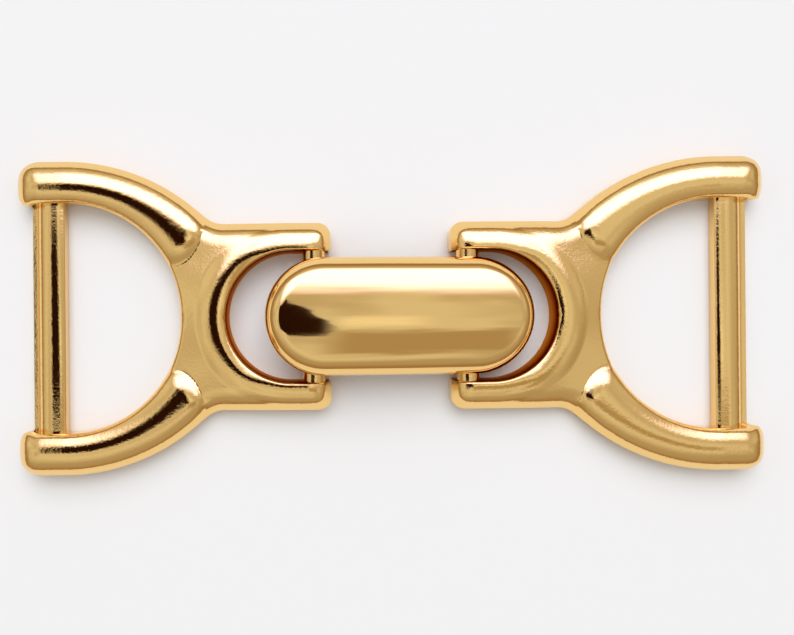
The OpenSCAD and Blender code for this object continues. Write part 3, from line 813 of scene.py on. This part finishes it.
def add_card(name, corners, strength, soft, tint="#FFFFFF"):
    """A flat card that only reflections see; soft holds its faded edges' shares of its length and depth."""
    mesh = bpy.data.meshes.new(name)
    mesh.from_pydata([tuple(v * MM for v in c) for c in corners], [], [tuple(range(len(corners)))])
    obj = bpy.data.objects.new(name, mesh)
    bpy.context.scene.collection.objects.link(obj)
    mat, tree = new_material(name)
    glow = add_node(tree, "ShaderNodeEmission", {}, {"Strength": strength, "Color": srgb(tint)})
    place = add_node(tree, "ShaderNodeTexCoord")
    parts = add_node(tree, "ShaderNodeSeparateXYZ", {}, {}, [(place.outputs["Generated"], "Vector")])
    share = None
    for axis, (low, high) in zip("XY", soft):
        for start, stop in ((0.0, low), (1.0, 1.0 - high)):
            if start == stop:
                continue
            step = add_node(tree, "ShaderNodeMapRange", {"interpolation_type": "SMOOTHSTEP"},
                            {"From Min": start, "From Max": stop}, [(parts.outputs[axis], "Value")])
            if share:
                step = add_node(tree, "ShaderNodeMath", {"operation": "MULTIPLY"}, {},
                                [(step.outputs[0], 0), (share, 1)])
            share = step.outputs[0]
    clear = add_node(tree, "ShaderNodeBsdfTransparent")
    faded = add_node(tree, "ShaderNodeMixShader", {}, {},
                     [(share, 0), (clear.outputs["BSDF"], 1), (glow.outputs["Emission"], 2)])
    add_node(tree, "ShaderNodeOutputMaterial", {}, {}, [(faded.outputs["Shader"], "Surface")])
    obj.data.materials.append(mat)
    obj.visible_camera = obj.visible_diffuse = obj.visible_shadow = False


def place_camera(look):
    """The camera straight above, turned and shifted as in the photograph."""
    data = bpy.data.cameras.new("camera")
    cam = bpy.data.objects.new("camera", data)
    bpy.context.scene.collection.objects.link(cam)
    cam.location = (LENS_X * MM, LENS_Y * MM, look.camera_height)
    cam.rotation_euler = (0, 0, math.radians(CAMERA_ROLL))
    data.sensor_width, data.sensor_fit = SENSOR, "HORIZONTAL"
    data.lens = SENSOR * (look.camera_height - MIDDLE_Z * MM) / (FRAME_W / PIXELS_PER_MM * MM)
    data.shift_x = (FRAME_W / 2 - LENS_PIXEL[0]) / FRAME_W
    data.shift_y = (LENS_PIXEL[1] - FRAME_H / 2) / FRAME_W
    data.clip_start = MM
    bpy.context.scene.camera = cam


class CLASP_OT_stage(bpy.types.Operator):
    """Lays the pale floor and sets up the studio light and the camera"""

    bl_idname = "clasp.stage"
    bl_label = "Studio"

    def execute(self, context):
        look = context.scene.clasp_look
        context.scene.view_settings.view_transform = "Standard"
        lay_floor(look)
        light_room()
        add_window(look)
        add_card("softbox", SOFTBOX, look.softbox, [(0.2, 0.25), (0.3, 0.25)], "#CFC6FF")
        add_card("white_flag", WHITE_FLAG, 0.95, [(0.2, 0.4), (0.5, 0.45)])
        add_card("black_flag", BLACK_FLAG, 0.02, [(0.02, 0.12), (0.0, 0.0)], "#FF9569")
        add_card("grey_flag", GREY_FLAG, 0.44, [(0.2, 0.15), (0.2, 0.15)], "#FFEACB")
        place_camera(look)
        return {"FINISHED"}


class CLASP_PT_panel(bpy.types.Panel):
    """Lists the clasp's build steps"""

    bl_idname = "CLASP_PT_panel"
    bl_label = "Strap clasp"
    bl_space_type = "VIEW_3D"
    bl_region_type = "UI"
    bl_category = "Clasp"

    def draw(self, context):
        for step in STEPS:
            self.layout.operator(step.bl_idname)


STEPS = (CLASP_OT_frames, CLASP_OT_link, CLASP_OT_stage)
CLASSES = (ClaspFrameSizes, ClaspPlateSizes, ClaspLook, *STEPS, CLASP_PT_panel)


def register():
    for cls in CLASSES:
        bpy.utils.register_class(cls)
    bpy.types.Scene.clasp_frame = bpy.props.PointerProperty(type=ClaspFrameSizes)
    bpy.types.Scene.clasp_plate = bpy.props.PointerProperty(type=ClaspPlateSizes)
    bpy.types.Scene.clasp_look = bpy.props.PointerProperty(type=ClaspLook)


def unregister():
    del bpy.types.Scene.clasp_look
    del bpy.types.Scene.clasp_plate
    del bpy.types.Scene.clasp_frame
    for cls in reversed(CLASSES):
        bpy.utils.unregister_class(cls)


def main():
    register()
    bpy.ops.clasp.frames()
    bpy.ops.clasp.link()
    bpy.ops.clasp.stage()


if __name__ == "__main__":
    main()
